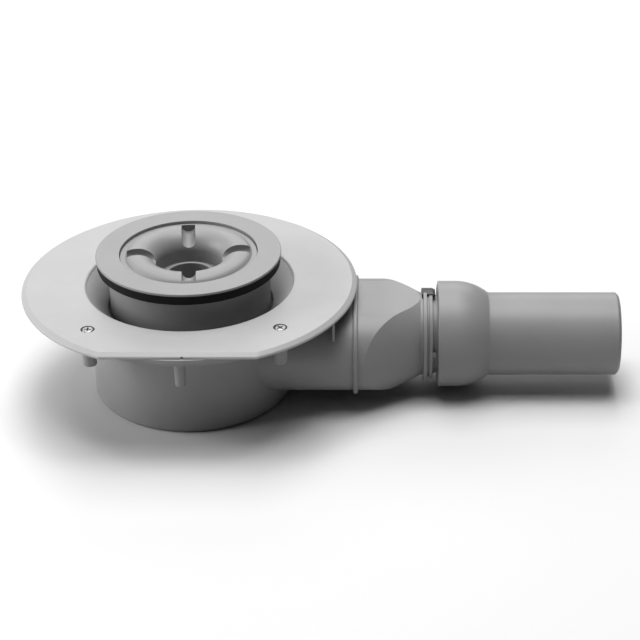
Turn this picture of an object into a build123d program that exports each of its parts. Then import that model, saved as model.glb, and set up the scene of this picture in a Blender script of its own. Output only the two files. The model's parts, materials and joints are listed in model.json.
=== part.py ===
from build123d import *
import math
import os

# Low shower trap with a swivelling pipe outlet, in millimetres.
# The origin is the centre of the drum's base, +Z is up and the outlet pipe leaves along +X.

# Outlet: one radius serves the pipe, the reducer's round neck and the half height of the oval duct
OUTLET_R = 25.0
PIPE_WALL = 1.8
PIPE_LENGTH = 78.7
PIPE_EDGE = 1.5
DUCT_WIDTH = 86.0
DUCT_WALL = 2.2
DUCT_LIFT = 9.0
DUCT_LENGTH = 39.1

# Drain neck and its threaded seat in the flange
NECK_R = 48.0
NECK_WALL = 2.2
NECK_FIT = 0.15
NECK_REACH = 9.0
RING_OVERHANG = 7.0
RING_THICKNESS = 1.5
RING_INSET = 7.0
RING_EDGE = 0.5
RING_BORE_EDGE = 0.25
INSERT_LEDGE_WIDTH = 1.2
INSERT_LEDGE_DEPTH = 4.0
INSERT_LEDGE_HEIGHT = 7.0

# Rubber gasket under the top ring
GASKET_HEIGHT = 5.7
GASKET_SETBACK = 0.6
GASKET_FIT = 0.1
TRAY_GAP = 12.3

# Water chamber
CHAMBER_WIDTH = 9.5
DRUM_WALL = 2.5
DRUM_FLOOR = 2.5
DRUM_EDGE = 3.0
FLOOR_EDGE = 2.0
WEIR_RISE = 6.0

# Rim of the body, under the flange
ROOF_GAP = 8.5
RIM_WIDTH = 31.0
RIM_THICKNESS = 2.5
SKIRT_SETBACK = 3.0
SKIRT_WALL = 2.2
SKIRT_DROP = 3.0
SEAL_OFFSET = 4.0
SEAL_WIDTH = 4.0
SEAL_DEPTH = 2.0
SEAL_FIT = 0.1

# Clamping flange
FLANGE_OVERHANG = 9.0
FLANGE_THICKNESS = 3.0
FLANGE_EDGE = 1.2
FLAT_SETBACK = 10.5
DISH_MARGIN = 2.0
DISH_DEPTH = 14.0
DISH_STEP = 1.4
DISH_STEP_RUN = 0.4
DISH_EDGE = 0.5
DISH_WALL = 1.8
DISH_CLEARANCE = 0.4
COLLAR_WALL = 2.5
COLLAR_LEAD = 0.8
GATE_MARK_R = 1.2
GATE_MARK_X = 2.5

# Screws that hold the flange on the body: two beside the flat, one opposite it
SCREW_OFFSET = 20.7
SCREW_TURN = 1.25
SCREW_SPREAD = 43.05
SCREW_R = 2.0
SCREW_LENGTH = 16.0
SCREW_FIT = 0.1
SCREW_SEAT_DEPTH = 2.0
HEAD_R = 3.5
HEAD_HEIGHT = 2.0
HEAD_EDGE = 0.8
HEAD_FIT = 0.6
CROSS_LENGTH = 4.4
CROSS_WIDTH = 0.9
CROSS_DEPTH = 1.2
CROSS_TURN = 45.0
BOSS_WALL = 2.1
BOSS_LENGTH = 17.7
BOSS_EDGE = 1.2
PEG_LENGTH = 19.2
PEG_R = 3.1
PEG_TIP_R = 2.5

# Gusset between the duct's shoulder and the rim
GUSSET_THICKNESS = 1.4
GUSSET_SETBACK = 12.0
GUSSET_Y = -37.5
GUSSET_LENGTH = 17.5

# Weld bead between the body and the outlet reducer
WELD_PROUD = 2.2
WELD_HALF = 1.5
WELD_EDGE = 0.8

# Reducer from the oval duct to the round neck
REDUCER_LENGTH = 38.9
CONE_LEAD = 4.9

# Split retainer on the reducer's neck
RETAINER_START = 1.7
RETAINER_FIT = 0.05
RETAINER_CORE = 1.1
FIRST_RIB_WIDTH = 2.1
FIRST_RIB_PROUD = 3.8
GROOVE_WIDTH = 1.3
SECOND_RIB_WIDTH = 2.1
SECOND_RIB_PROUD = 2.0
REAR_START = 0.8
REAR_REACH = 1.7
REAR_FIT = 0.15
REAR_PROUD = 2.7
REAR_TIP_PROUD = 1.85
REAR_EDGE = 0.4
SPLIT_GAP = 0.1
SPLIT_SHIFT = 1.3
TAB_WIDTH = 3.0
TAB_LENGTH = 1.8
TAB_TOP = 1.8
TAB_ROOT = 1.1

# Ball on the reducer and socket on the pipe
MOUTH_GAP = 2.9
SOCKET_LENGTH = 10.9
BALL_GAP = 0.35
SOCKET_WALL = 3.1
LIP_WIDTH = 2.0
LIP_GAP = 0.6
LIP_FLARE = 1.6
LIP_CHAMFER = 1.1
NECK_BORE_WALL = 2.4
BALL_END_WALL = 1.6
BALL_SEAL_WIDTH = 5.0
BALL_SEAL_DEPTH = 2.6
BALL_SEAL_GAP = 0.3

# Trap insert that lifts out of the drain neck
INSERT_FIT = 0.4
INSERT_TURN = 4.8
INSERT_DROP = 1.75
INSERT_WALL = 2.0
CREST_RISE = 0.8
CREST_SETBACK = 10.7
BELL_R = 10.7
LOBE_R = 20.0
SHOULDER_SETBACK = 4.6
SHOULDER_ROUND = 2.0
THROAT_DROP = 7.1
THROAT_STEP = 3.1
SLOT_WIDTH = 8.3
SLOT_DEPTH = 3.4
SLOT_FALL = 8.5
SLOT_SETBACK = 4.0
SLOT_WALL = 1.6
SLEEVE_LENGTH = 8.0
SEAL_SKIRT_WALL = 4.2
SEAL_SKIRT_LENGTH = 7.5
ORING_R = 1.0
ORING_DROP = 3.9
ORING_FIT = 0.05

# Dip tube that hangs in the insert
TUBE_HEAD_DROP = 0.3
TUBE_HEAD_HEIGHT = 4.0
TUBE_FIT = 0.3
TUBE_LEDGE = 1.3
TUBE_WALL = 1.6
TUBE_END_Z = 10.0
TUBE_RISE = 2.8
TUBE_LIP = 0.4
TUBE_RING_R = 0.9
TUBE_RING_LIFT = 1.5

# Radii that follow from the driving sizes
DRUM_IN_R = NECK_R + CHAMBER_WIDTH
DRUM_R = DRUM_IN_R + DRUM_WALL
RIM_R = DRUM_R + RIM_WIDTH
SKIRT_R = RIM_R - SKIRT_SETBACK
FLANGE_R = RIM_R + FLANGE_OVERHANG
DISH_R = DRUM_R + DISH_MARGIN
COLLAR_IN_R = NECK_R + NECK_FIT
COLLAR_R = COLLAR_IN_R + COLLAR_WALL
SCREW_PITCH_R = DRUM_R + SCREW_OFFSET
SEAL_IN_R = DISH_R + SEAL_OFFSET
SEAL_OUT_R = SEAL_IN_R + SEAL_WIDTH
BOSS_R = SCREW_R + BOSS_WALL
NECK_IN_R = NECK_R - NECK_WALL
RING_R = NECK_R + RING_OVERHANG
RING_BORE_R = NECK_R - RING_INSET
GASKET_R = RING_R - GASKET_SETBACK
SCREW_ANGLES = (SCREW_TURN - 90.0 - SCREW_SPREAD, SCREW_TURN - 90.0 + SCREW_SPREAD, SCREW_TURN + 90.0)

# Heights that follow from the driving sizes
AXIS_Z = DUCT_LIFT + OUTLET_R
RIM_Z = AXIS_Z + OUTLET_R + ROOF_GAP
PLATE_Z = RIM_Z - RIM_THICKNESS
SKIRT_Z = PLATE_Z - SKIRT_DROP
WEIR_Z = AXIS_Z + WEIR_RISE
FLANGE_Z = RIM_Z + FLANGE_THICKNESS
DISH_Z = FLANGE_Z - DISH_DEPTH
GASKET_Z = FLANGE_Z + TRAY_GAP
RING_Z = GASKET_Z + GASKET_HEIGHT
TOP_Z = RING_Z + RING_THICKNESS
NECK_END_Z = DISH_Z - NECK_REACH

# Slanted wall of the flange's dish: its foot, slope, upright thickness and the rim of its underside
DISH_FOOT_R = COLLAR_IN_R + COLLAR_LEAD
DISH_SLOPE = (DISH_DEPTH - DISH_STEP) / (DISH_R - DISH_STEP_RUN - DISH_FOOT_R)
DISH_DROP = DISH_WALL * math.hypot(1, DISH_SLOPE)
DISH_RIM_R = DISH_FOOT_R + (RIM_Z + DISH_DROP - DISH_Z) / DISH_SLOPE

# Stations along the outlet
WELD_X = DRUM_R + DUCT_LENGTH
CONE_X = WELD_X + CONE_LEAD
NECK_X = WELD_X + REDUCER_LENGTH
FIRST_RIB_X = NECK_X + RETAINER_START
GROOVE_X = FIRST_RIB_X + FIRST_RIB_WIDTH
SECOND_RIB_X = GROOVE_X + GROOVE_WIDTH
RETAINER_X = SECOND_RIB_X + SECOND_RIB_WIDTH
MOUTH_X = RETAINER_X + MOUTH_GAP
BALL_X = MOUTH_X + SOCKET_LENGTH
BALL_R = math.hypot(BALL_X - RETAINER_X, OUTLET_R)
SOCKET_IN_R = BALL_R + BALL_GAP
SOCKET_R = SOCKET_IN_R + SOCKET_WALL
PIPE_X = BALL_X + math.sqrt(SOCKET_R ** 2 - OUTLET_R ** 2)
PIPE_END_X = PIPE_X + PIPE_LENGTH
PIPE_BORE_R = OUTLET_R - PIPE_WALL
NECK_BORE_R = OUTLET_R - NECK_BORE_WALL

# Sizes of the insert and the dip tube
INSERT_R = RING_BORE_R - INSERT_FIT
INSERT_Z = TOP_Z - INSERT_DROP
LEDGE_R = RING_BORE_R - INSERT_LEDGE_WIDTH
LEDGE_Z = TOP_Z - INSERT_LEDGE_DEPTH
CREST_R = RING_BORE_R - CREST_SETBACK
CREST_Z = TOP_Z + CREST_RISE
BELL_Z = CREST_Z - BELL_R
LOBE_Z = CREST_Z - LOBE_R
SHOULDER_R = INSERT_R - SHOULDER_SETBACK
SLOT_END_R = INSERT_R - SLOT_SETBACK
SLOT_END_Z = INSERT_Z - SLOT_DEPTH
THROAT_R = CREST_R - BELL_R
THROAT_Z = BELL_Z - THROAT_DROP
TUBE_BED_R = THROAT_R - THROAT_STEP
SLEEVE_Z = THROAT_Z - SLEEVE_LENGTH
TUBE_HEAD_R = TUBE_BED_R - TUBE_FIT
TUBE_HEAD_Z = THROAT_Z - TUBE_HEAD_DROP
TUBE_TOP_Z = TUBE_HEAD_Z + TUBE_RISE
TUBE_SEAT_Z = TUBE_HEAD_Z - TUBE_HEAD_HEIGHT
TUBE_R = TUBE_HEAD_R - TUBE_LEDGE
TUBE_BORE_R = TUBE_R - TUBE_WALL
TUBE_RING_Z = TUBE_SEAT_Z + TUBE_RING_LIFT
TUBE_RING_MID_R = TUBE_BED_R - TUBE_RING_R - ORING_FIT
SEAL_SKIRT_R = LEDGE_R - INSERT_FIT
SEAL_SKIRT_IN_R = SEAL_SKIRT_R - SEAL_SKIRT_WALL
SEAL_SKIRT_Z = LEDGE_Z - SEAL_SKIRT_LENGTH
ORING_Z = LEDGE_Z - ORING_DROP
INSERT_RING_R = LEDGE_R - ORING_R - ORING_FIT


def half_section(points, rounds):
    """Upright face inside straight lines; rounds holds (corner point, radius) pairs."""
    face = make_face(Polyline(*points, close=True))
    for point, radius in rounds:
        corner = min(face.vertices(), key=lambda v: (Vector(*v.center()) - Vector(*point)).length)
        face = fillet(corner, radius)
    return Plane.XZ * face


def turned(points, rounds=()):
    """Solid of revolution about Z from (radius, height) points."""
    return revolve(half_section(points, rounds), Axis.Z)


def spun(points, rounds=()):
    """Solid of revolution about the outlet's axis from (station, radius) points."""
    return Pos(0, 0, AXIS_Z) * revolve(half_section(points, rounds), Axis.X)


def upright(radius, low, high):
    """Solid cylinder about Z between two heights."""
    return Pos(0, 0, low) * Cylinder(radius, high - low, align=(Align.CENTER, Align.CENTER, Align.MIN))


def washer(outer, inner, low, high):
    """Flat ring about Z between two heights."""
    return upright(outer, low, high) - upright(inner, low, high)


def oval_bar(start, end, grow=0.0):
    """Flat-oval bar along the outlet, grown or shrunk all round."""
    section = SlotOverall(DUCT_WIDTH + 2 * grow, 2 * (OUTLET_R + grow))
    plane = Plane(origin=(start, 0, AXIS_Z), x_dir=(0, 1, 0), z_dir=(1, 0, 0))
    return extrude(plane * section, end - start)


def cone_bar(start, end, grow=0.0):
    """Cone about the outlet that closes the oval duct down to the round neck."""
    slope = (DUCT_WIDTH / 2 - OUTLET_R) / (NECK_X - CONE_X)
    at_start = OUTLET_R + slope * (NECK_X - start) + grow
    at_end = OUTLET_R + slope * (NECK_X - end) + grow
    return spun([(start, 0), (end, 0), (end, at_end), (start, at_start)])


def half_space(x_low, x_high, y_low, y_high, z_low, z_high):
    """Box between given limits, for cutting."""
    corner = (Align.MIN, Align.MIN, Align.MIN)
    return Pos(x_low, y_low, z_low) * Box(x_high - x_low, y_high - y_low, z_high - z_low, align=corner)


def screw_places():
    """Positions of the flange screws on their pitch circle."""
    return [
        (SCREW_PITCH_R * math.cos(math.radians(a)), SCREW_PITCH_R * math.sin(math.radians(a)))
        for a in SCREW_ANGLES
    ]


def dish_under(radius):
    """Height of the flange dish's underside at a radius."""
    return DISH_Z - DISH_DROP + DISH_SLOPE * (radius - DISH_FOOT_R)


def weld_half(start, end):
    """One half of the weld bead, rounded on its outer edge."""
    bead = oval_bar(start, end, WELD_PROUD)
    face = bead.faces().sort_by(Axis.X)[0 if start < WELD_X else -1]
    return fillet(face.edges(), WELD_EDGE)


def trap_body():
    """Drum, rim, oval duct, screw bosses and locating peg, moulded in one."""
    outer = turned(
        [
            (0, 0), (DRUM_R, 0), (DRUM_R, PLATE_Z), (SKIRT_R - SKIRT_WALL, PLATE_Z),
            (SKIRT_R - SKIRT_WALL, SKIRT_Z), (SKIRT_R, SKIRT_Z), (SKIRT_R, PLATE_Z),
            (RIM_R, PLATE_Z), (RIM_R, RIM_Z), (0, RIM_Z),
        ],
        [((DRUM_R, 0), DRUM_EDGE)],
    )
    outer += oval_bar(0, WELD_X)
    outer += weld_half(WELD_X - WELD_HALF, WELD_X)
    boss_z = PLATE_Z - BOSS_LENGTH
    boss = turned(
        [(0, boss_z), (BOSS_R, boss_z), (BOSS_R, RIM_Z), (0, RIM_Z)],
        [((BOSS_R, boss_z), BOSS_EDGE)],
    )
    for x, y in screw_places():
        outer += Pos(x, y, 0) * boss
    peg_z = PLATE_Z - PEG_LENGTH
    peg = turned([(0, peg_z), (PEG_TIP_R, peg_z), (PEG_R, PLATE_Z), (0, PLATE_Z)])
    outer += Pos(0, -SCREW_PITCH_R, 0) * peg
    gusset_x = WELD_X - GUSSET_SETBACK
    outer += half_space(
        gusset_x - GUSSET_THICKNESS, gusset_x, GUSSET_Y, GUSSET_Y + GUSSET_LENGTH, AXIS_Z, RIM_Z
    )
    chamber = turned(
        [(0, DRUM_FLOOR), (DRUM_IN_R, DRUM_FLOOR), (DRUM_IN_R, RIM_Z), (0, RIM_Z)],
        [((DRUM_IN_R, DRUM_FLOOR), FLOOR_EDGE)],
    )
    duct = oval_bar(0, WELD_X, -DUCT_WALL)
    window = duct & half_space(0, WELD_X, -DUCT_WIDTH, DUCT_WIDTH, WEIR_Z, RIM_Z)
    body = outer - chamber - (duct - upright(DRUM_R, 0, RIM_Z)) - window
    seat_r = DRUM_IN_R - DISH_CLEARANCE
    seat_z = dish_under(seat_r) - DISH_CLEARANCE
    body -= turned([(0, seat_z), (seat_r, seat_z), (DISH_RIM_R + DISH_CLEARANCE, RIM_Z), (0, RIM_Z)])
    body -= washer(SEAL_OUT_R, SEAL_IN_R, RIM_Z - SEAL_DEPTH, RIM_Z)
    for x, y in screw_places():
        body -= Pos(x, y, 0) * upright(SCREW_R + SCREW_FIT, RIM_Z - SCREW_LENGTH, RIM_Z)
    return body


def fixing_flange():
    """Round clamping flange with one flat side, a dished throat and a collar for the drain neck."""
    flat_y = -(FLANGE_R - FLAT_SETBACK)
    plate = upright(FLANGE_R, RIM_Z, FLANGE_Z)
    plate -= half_space(-FLANGE_R, FLANGE_R, -FLANGE_R, flat_y, RIM_Z, FLANGE_Z)
    plate = fillet(plate.faces().sort_by(Axis.Z)[-1].edges(), FLANGE_EDGE)
    throat = turned(
        [
            (COLLAR_IN_R, NECK_END_Z), (COLLAR_R, NECK_END_Z), (COLLAR_R, dish_under(COLLAR_R)),
            (DISH_RIM_R, RIM_Z), (SEAL_IN_R, RIM_Z), (SEAL_IN_R, FLANGE_Z), (DISH_R, FLANGE_Z),
            (DISH_R - DISH_STEP_RUN, FLANGE_Z - DISH_STEP), (DISH_FOOT_R, DISH_Z),
            (COLLAR_IN_R, DISH_Z - COLLAR_LEAD),
        ],
        [((DISH_R, FLANGE_Z), DISH_EDGE)],
    )
    flange = plate - upright(SEAL_IN_R, RIM_Z, FLANGE_Z) + throat
    flange -= Pos(GATE_MARK_X, flat_y, RIM_Z) * Cylinder(GATE_MARK_R, FLANGE_THICKNESS)
    for x, y in screw_places():
        flange -= Pos(x, y, 0) * upright(SCREW_R + SCREW_FIT, RIM_Z, FLANGE_Z)
        flange -= Pos(x, y, 0) * upright(HEAD_R + HEAD_FIT, FLANGE_Z - SCREW_SEAT_DEPTH, FLANGE_Z)
    return flange


def flange_screws():
    """Cross-recessed pan-head screws, one for each boss."""
    seat_z = FLANGE_Z - SCREW_SEAT_DEPTH
    head_top = seat_z + HEAD_HEIGHT
    screw = turned(
        [(0, RIM_Z - SCREW_LENGTH), (SCREW_R, RIM_Z - SCREW_LENGTH), (SCREW_R, seat_z),
         (HEAD_R, seat_z), (HEAD_R, head_top), (0, head_top)],
        [((HEAD_R, head_top), HEAD_EDGE), ((SCREW_R, RIM_Z - SCREW_LENGTH), HEAD_EDGE)],
    )
    arm = Box(CROSS_LENGTH, CROSS_WIDTH, 2 * CROSS_DEPTH)
    screw -= Pos(0, 0, head_top) * (arm + Rot(0, 0, 90) * arm)
    return Compound([
        Pos(x, y, 0) * Rot(0, 0, index * CROSS_TURN) * screw
        for index, (x, y) in enumerate(screw_places())
    ])


def body_seal():
    """Flat rubber ring in the rim's groove, pressed by the flange."""
    return washer(SEAL_OUT_R - SEAL_FIT, SEAL_IN_R + SEAL_FIT, RIM_Z - SEAL_DEPTH, RIM_Z)


def drain_neck():
    """Top ring, straight neck and the ledge that carries the insert."""
    ledge_low = LEDGE_Z - INSERT_LEDGE_HEIGHT
    return turned(
        [
            (LEDGE_R, ledge_low), (NECK_IN_R, ledge_low - (NECK_IN_R - LEDGE_R)), (NECK_IN_R, NECK_END_Z),
            (NECK_R, NECK_END_Z), (NECK_R, RING_Z), (RING_R, RING_Z), (RING_R, TOP_Z),
            (RING_BORE_R, TOP_Z), (RING_BORE_R, LEDGE_Z), (LEDGE_R, LEDGE_Z),
        ],
        [((RING_R, TOP_Z), RING_EDGE), ((RING_BORE_R, TOP_Z), RING_BORE_EDGE)],
    )


def tray_gasket():
    """Thick rubber ring under the top ring."""
    inner = NECK_R + GASKET_FIT
    return turned(
        [(inner, GASKET_Z), (GASKET_R, GASKET_Z), (GASKET_R, RING_Z), (inner, RING_Z)],
        [((GASKET_R, GASKET_Z), GASKET_SETBACK)],
    )


def arc_about(centre, radius, start, end):
    """Arc of a half section about a centre, between two angles in degrees."""
    corners = []
    for angle in (start, (start + end) / 2, end):
        turn = math.radians(angle)
        corners.append((centre[0] + radius * math.cos(turn), centre[1] + radius * math.sin(turn)))
    return ThreePointArc(*corners)


def lobe_angle(inset, radius):
    """Angle on a lobe's arc, or on an arc under it, where it reaches a radius."""
    return math.degrees(math.acos((radius - CREST_R) / (LOBE_R - inset)))


def bell_lines(inset, reach):
    """Two tangent arcs of the bell: from its throat up to the crest, and on over a lobe to a radius."""
    return [
        arc_about((CREST_R, BELL_Z), BELL_R - inset, 180, 90),
        arc_about((CREST_R, LOBE_Z), LOBE_R - inset, 90, lobe_angle(inset, reach)),
    ]


def shoulder_line():
    """Arc from the end of a lobe down to the insert's rim."""
    start = lobe_angle(0.0, SHOULDER_R)
    reach = LOBE_R - SHOULDER_ROUND
    centre_r = CREST_R + reach * math.cos(math.radians(start))
    centre_z = LOBE_Z + reach * math.sin(math.radians(start))
    end = math.degrees(math.asin((INSERT_Z - centre_z) / SHOULDER_ROUND))
    return arc_about((centre_r, centre_z), SHOULDER_ROUND, start, end)


def ring_section(edges):
    """Solid of revolution about Z from the edges of its half section."""
    return revolve(Plane.XZ * make_face(edges), Axis.Z)


def slot_bar(radius):
    """Round-bottomed bar that falls from the insert's rim towards its throat, open at its top."""
    fall = math.radians(SLOT_FALL)
    plane = Plane(
        origin=(SLOT_END_R, 0, SLOT_END_Z + SLOT_WIDTH / 2),
        x_dir=(0, 1, 0),
        z_dir=(-math.cos(fall), 0, -math.sin(fall)),
    )
    section = Circle(radius) + Pos(0, -radius) * Rectangle(2 * radius, 2 * radius)
    return extrude(plane * section, SLOT_END_R)


def trap_insert():
    """Bell-mouthed insert with four round-bottomed slots, a sealing skirt and a sleeve for the dip tube."""
    rise, lobe = bell_lines(0.0, SHOULDER_R)
    shoulder = shoulder_line()
    under_rise, under_lobe = bell_lines(INSERT_WALL, SEAL_SKIRT_IN_R)
    sleeve_in = TUBE_R + TUBE_FIT
    bed_low = THROAT_Z - INSERT_WALL
    sleeve_out = TUBE_BED_R + INSERT_WALL
    insert = ring_section([
        rise,
        lobe,
        shoulder,
        Polyline(
            shoulder @ 1, (INSERT_R, INSERT_Z), (INSERT_R, LEDGE_Z), (SEAL_SKIRT_R, LEDGE_Z),
            (SEAL_SKIRT_R, SEAL_SKIRT_Z), (THROAT_R + INSERT_WALL, SEAL_SKIRT_Z),
            (THROAT_R + INSERT_WALL, bed_low), (sleeve_out, bed_low), (sleeve_out, SLEEVE_Z),
            (sleeve_in, SLEEVE_Z), (sleeve_in, TUBE_SEAT_Z), (TUBE_BED_R, TUBE_SEAT_Z),
            (TUBE_BED_R, THROAT_Z), (THROAT_R, THROAT_Z), rise @ 0,
        ),
    ])
    hollow = ring_section([
        under_rise,
        under_lobe,
        Polyline(
            under_lobe @ 1, (SEAL_SKIRT_IN_R, SLEEVE_Z), (THROAT_R + INSERT_WALL, SLEEVE_Z), under_rise @ 0,
        ),
    ])
    channel = slot_bar(SLOT_WIDTH / 2 + SLOT_WALL)
    slot = slot_bar(SLOT_WIDTH / 2)
    for quarter in range(4):
        hollow -= Rot(0, 0, 90 * quarter) * channel
    insert -= hollow
    for quarter in range(4):
        insert -= Rot(0, 0, 90 * quarter) * slot
    groove_r = INSERT_RING_R - ORING_R - ORING_FIT
    insert -= washer(LEDGE_R, groove_r, ORING_Z - ORING_R - ORING_FIT, ORING_Z + ORING_R + ORING_FIT)
    return Rot(0, 0, INSERT_TURN) * insert


def insert_seal():
    """Rubber ring in the insert's skirt groove."""
    return Pos(0, 0, ORING_Z) * Torus(INSERT_RING_R, ORING_R)


def dip_tube():
    """Straight tube that reaches into the water and hangs by its head."""
    tube = turned([
        (TUBE_BORE_R, TUBE_END_Z), (TUBE_R, TUBE_END_Z), (TUBE_R, TUBE_SEAT_Z), (TUBE_HEAD_R, TUBE_SEAT_Z),
        (TUBE_HEAD_R, TUBE_HEAD_Z), (TUBE_R, TUBE_HEAD_Z), (TUBE_R, TUBE_TOP_Z - TUBE_LIP),
        (TUBE_R - TUBE_LIP, TUBE_TOP_Z), (TUBE_BORE_R + TUBE_LIP, TUBE_TOP_Z),
        (TUBE_BORE_R, TUBE_TOP_Z - TUBE_LIP),
    ])
    groove_r = TUBE_RING_MID_R - TUBE_RING_R - ORING_FIT
    half = TUBE_RING_R + ORING_FIT
    return tube - washer(TUBE_HEAD_R, groove_r, TUBE_RING_Z - half, TUBE_RING_Z + half)


def dip_tube_seal():
    """Rubber ring round the dip tube's head."""
    return Pos(0, 0, TUBE_RING_Z) * Torus(TUBE_RING_MID_R, TUBE_RING_R)


def axle_section(edges):
    """Solid of revolution about the outlet's axis from the edges of its half section."""
    return Pos(0, 0, AXIS_Z) * revolve(Plane.XZ * make_face(edges), Axis.X)


def outlet_reducer():
    """Oval-to-round reducer with a bead where it is welded on, a round neck and a hollow ball."""
    shell = (oval_bar(WELD_X, NECK_X) & cone_bar(WELD_X, NECK_X)) + weld_half(WELD_X, WELD_X + WELD_HALF)
    shell -= oval_bar(WELD_X, NECK_X, -DUCT_WALL) & cone_bar(WELD_X, NECK_X, -NECK_BORE_WALL)
    end_r = NECK_BORE_R + BALL_END_WALL
    end_x = BALL_X + math.sqrt(BALL_R ** 2 - end_r ** 2)
    ball = ThreePointArc((RETAINER_X, OUTLET_R), (BALL_X, BALL_R), (end_x, end_r))
    neck = axle_section([
        ball,
        Polyline(
            ball @ 1, (end_x, NECK_BORE_R), (NECK_X, NECK_BORE_R), (NECK_X, OUTLET_R), ball @ 0,
        ),
    ])
    half = BALL_SEAL_WIDTH / 2
    groove_r = BALL_R - BALL_SEAL_DEPTH
    neck -= spun([
        (BALL_X - half, groove_r), (BALL_X + half, groove_r),
        (BALL_X + half, SOCKET_R), (BALL_X - half, SOCKET_R),
    ])
    return shell + neck


def split_half(shape, side):
    """Front or rear half of a ring about the outlet, short of the split by half its gap."""
    low = SPLIT_GAP / 2 - SPLIT_SHIFT if side > 0 else -SOCKET_R
    high = SOCKET_R if side > 0 else -SPLIT_GAP / 2 - SPLIT_SHIFT
    return shape & half_space(NECK_X, BALL_X, low, high, AXIS_Z - SOCKET_R, AXIS_Z + SOCKET_R)


def retainer_front():
    """Front half of the split retainer, with two ribs and a finger that points into the socket's mouth."""
    inner = OUTLET_R + RETAINER_FIT
    core = OUTLET_R + RETAINER_CORE
    ring = spun([
        (FIRST_RIB_X, inner), (RETAINER_X, inner), (RETAINER_X, OUTLET_R + SECOND_RIB_PROUD),
        (SECOND_RIB_X, OUTLET_R + SECOND_RIB_PROUD), (SECOND_RIB_X, core), (GROOVE_X, core),
        (GROOVE_X, OUTLET_R + FIRST_RIB_PROUD), (FIRST_RIB_X, OUTLET_R + FIRST_RIB_PROUD),
    ])
    finger = spun([
        (SECOND_RIB_X, OUTLET_R + TAB_ROOT), (RETAINER_X + TAB_LENGTH, OUTLET_R + TAB_ROOT),
        (RETAINER_X + TAB_LENGTH, OUTLET_R + TAB_TOP), (SECOND_RIB_X, OUTLET_R + TAB_TOP),
    ])
    slab = half_space(NECK_X, BALL_X, -SOCKET_R, 0, AXIS_Z - TAB_WIDTH / 2, AXIS_Z + TAB_WIDTH / 2)
    return split_half(ring, -1) + (finger & slab)


def retainer_rear():
    """Rear half of the split retainer, a dark clip whose end flares out over the start of the ball."""
    inner = OUTLET_R + REAR_FIT
    outer = OUTLET_R + REAR_PROUD
    start = NECK_X + REAR_START
    end = RETAINER_X + REAR_REACH
    end_inner = math.sqrt(BALL_R ** 2 - (BALL_X - end) ** 2) + REAR_FIT
    clip = spun(
        [
            (start, inner), (RETAINER_X, inner), (end, end_inner), (end, OUTLET_R + REAR_TIP_PROUD),
            (RETAINER_X, outer), (start, outer),
        ],
        [((start, outer), REAR_EDGE)],
    )
    return split_half(clip, 1)


def ball_seal():
    """Rubber ring in the ball's groove, round on its outside like the ball."""
    half = BALL_SEAL_WIDTH / 2 - BALL_SEAL_GAP
    inner = BALL_R - BALL_SEAL_DEPTH + BALL_SEAL_GAP
    outer = SOCKET_IN_R - BALL_SEAL_GAP
    edge_r = math.sqrt(outer ** 2 - half ** 2)
    crown = ThreePointArc((BALL_X - half, edge_r), (BALL_X, outer), (BALL_X + half, edge_r))
    return axle_section([
        crown,
        Polyline(crown @ 1, (BALL_X + half, inner), (BALL_X - half, inner), crown @ 0),
    ])


def outlet_pipe():
    """Ball socket with a snap lip, and the straight pipe that carries on from it."""
    lip_x = MOUTH_X + LIP_WIDTH
    lip_r = math.sqrt(BALL_R ** 2 - (BALL_X - lip_x) ** 2) + LIP_GAP
    back_x = BALL_X + math.sqrt(SOCKET_IN_R ** 2 - PIPE_BORE_R ** 2)
    outside = ThreePointArc(
        (BALL_X, SOCKET_R),
        (BALL_X + (PIPE_X - BALL_X) / 2, math.sqrt(SOCKET_R ** 2 - ((PIPE_X - BALL_X) / 2) ** 2)),
        (PIPE_X, OUTLET_R),
    )
    inside = ThreePointArc(
        (back_x, PIPE_BORE_R),
        (BALL_X + (back_x - BALL_X) / 2, math.sqrt(SOCKET_IN_R ** 2 - ((back_x - BALL_X) / 2) ** 2)),
        (BALL_X, SOCKET_IN_R),
    )
    return axle_section([
        outside,
        Polyline(
            outside @ 1, (PIPE_END_X - PIPE_EDGE, OUTLET_R), (PIPE_END_X, OUTLET_R - PIPE_EDGE),
            (PIPE_END_X, PIPE_BORE_R), inside @ 0,
        ),
        inside,
        Polyline(
            inside @ 1, (lip_x + LIP_WIDTH, SOCKET_IN_R), (lip_x, lip_r), (MOUTH_X, lip_r + LIP_FLARE),
            (MOUTH_X + LIP_CHAMFER, SOCKET_R), outside @ 0,
        ),
    ])


def save(name, shape):
    """Write one piece to its own file."""
    export_step(shape, "parts/" + name + ".step")


os.makedirs("parts", exist_ok=True)
save("trap_body", trap_body())
save("fixing_flange", fixing_flange())
save("flange_screws", flange_screws())
save("body_seal", body_seal())
save("drain_neck", drain_neck())
save("tray_gasket", tray_gasket())
save("trap_insert", trap_insert())
save("insert_seal", insert_seal())
save("dip_tube", dip_tube())
save("dip_tube_seal", dip_tube_seal())
save("outlet_reducer", outlet_reducer())
save("retainer_front", retainer_front())
save("retainer_rear", retainer_rear())
save("ball_seal", ball_seal())
save("outlet_pipe", outlet_pipe())
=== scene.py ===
"""Low shower trap with a swivelling outlet: its mouldings, rubber rings and screws on a studio floor."""

import json
import math

import bmesh
import bpy
from bpy.props import FloatProperty, FloatVectorProperty, IntProperty, PointerProperty
from mathutils import Matrix, Vector


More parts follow.
